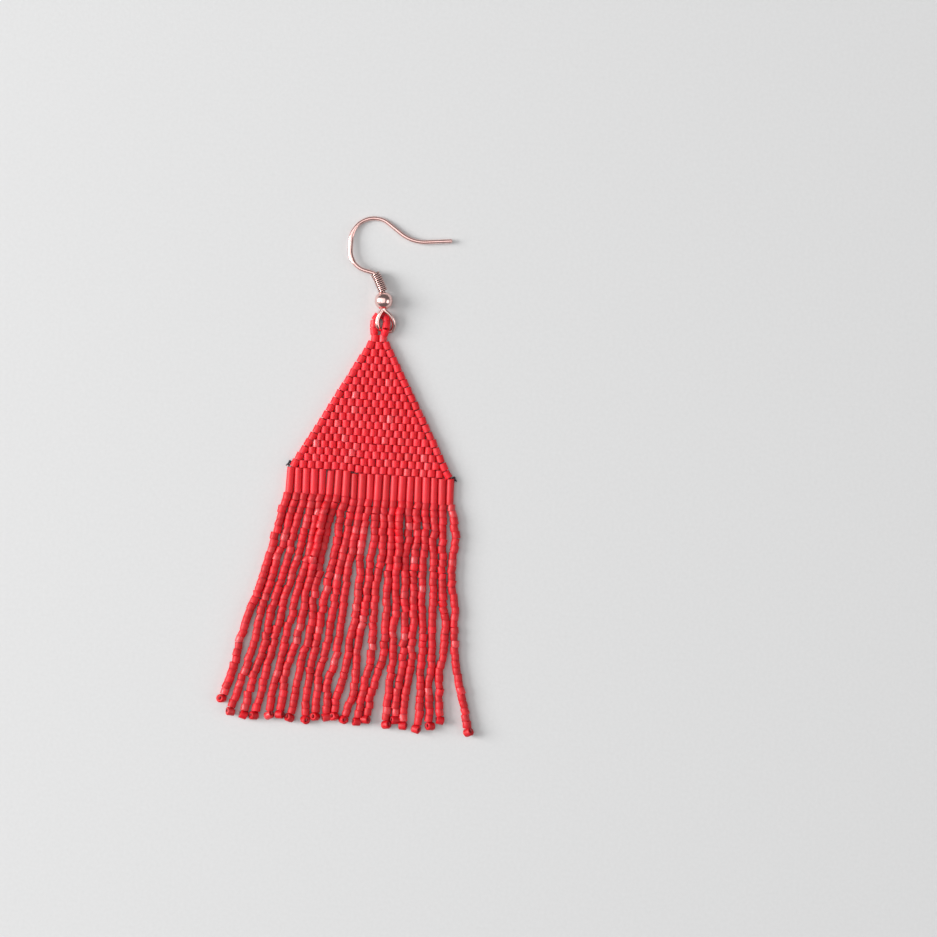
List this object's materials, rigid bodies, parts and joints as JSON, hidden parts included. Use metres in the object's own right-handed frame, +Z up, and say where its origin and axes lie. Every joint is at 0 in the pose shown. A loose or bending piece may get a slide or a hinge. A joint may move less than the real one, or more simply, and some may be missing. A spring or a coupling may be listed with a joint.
{
  "type": "beaded fringe earring",
  "caption": "Fish-hook ear wire with a ball and wire coil, a bead loop, a stepped triangle of brick-stitched red beads, a row of bugle beads and a long fringe of bead strands.",
  "frame": {"origin": "middle of the whole earring's box, on the surface that it lies on", "axes": "+Z up from the surface, +Y along the middle line of the beadwork towards the ear wire, +X to the right as seen from above"},
  "size_m": [0.051, 0.1024, 0.0036],
  "materials": {
    "ear_wire": "polished, rose gold plated",
    "ball": "polished, rose gold plated",
    "coil": "polished, rose gold plated",
    "seed_beads": "matt opaque",
    "bugle_beads": "matt opaque",
    "fringe_beads": "matt opaque"
  },
  "bodies": {
    "root": {"ear_hook": "ear_wire", "ball_bead": "ball", "coil_wrap": "coil", "hanging_loop": "seed_beads", "brick_stitch_panel": "seed_beads", "bugle_01": "bugle_beads", "bugle_02": "bugle_beads", "bugle_03": "bugle_beads", "bugle_04": "bugle_beads", "bugle_05": "bugle_beads", "bugle_06": "bugle_beads", "bugle_07": "bugle_beads", "bugle_08": "bugle_beads", "bugle_09": "bugle_beads", "bugle_10": "bugle_beads", "bugle_11": "bugle_beads", "bugle_12": "bugle_beads", "bugle_13": "bugle_beads", "bugle_14": "bugle_beads", "bugle_15": "bugle_beads", "bugle_16": "bugle_beads", "bugle_17": "bugle_beads", "bugle_18": "bugle_beads", "bugle_19": "bugle_beads", "bugle_20": "bugle_beads", "bugle_21": "bugle_beads", "strand_01": "fringe_beads", "strand_02": "fringe_beads", "strand_03": "fringe_beads", "strand_04": "fringe_beads", "strand_05": "fringe_beads", "strand_06": "fringe_beads", "strand_07": "fringe_beads", "strand_08": "fringe_beads", "strand_09": "fringe_beads", "strand_10": "fringe_beads", "strand_11": "fringe_beads", "strand_12": "fringe_beads", "strand_13": "fringe_beads", "strand_14": "fringe_beads", "strand_15": "fringe_beads", "strand_16": "fringe_beads", "strand_17": "fringe_beads", "strand_18": "fringe_beads", "strand_19": "fringe_beads", "strand_20": "fringe_beads", "strand_21": "fringe_beads"}
  },
  "joints": []
}
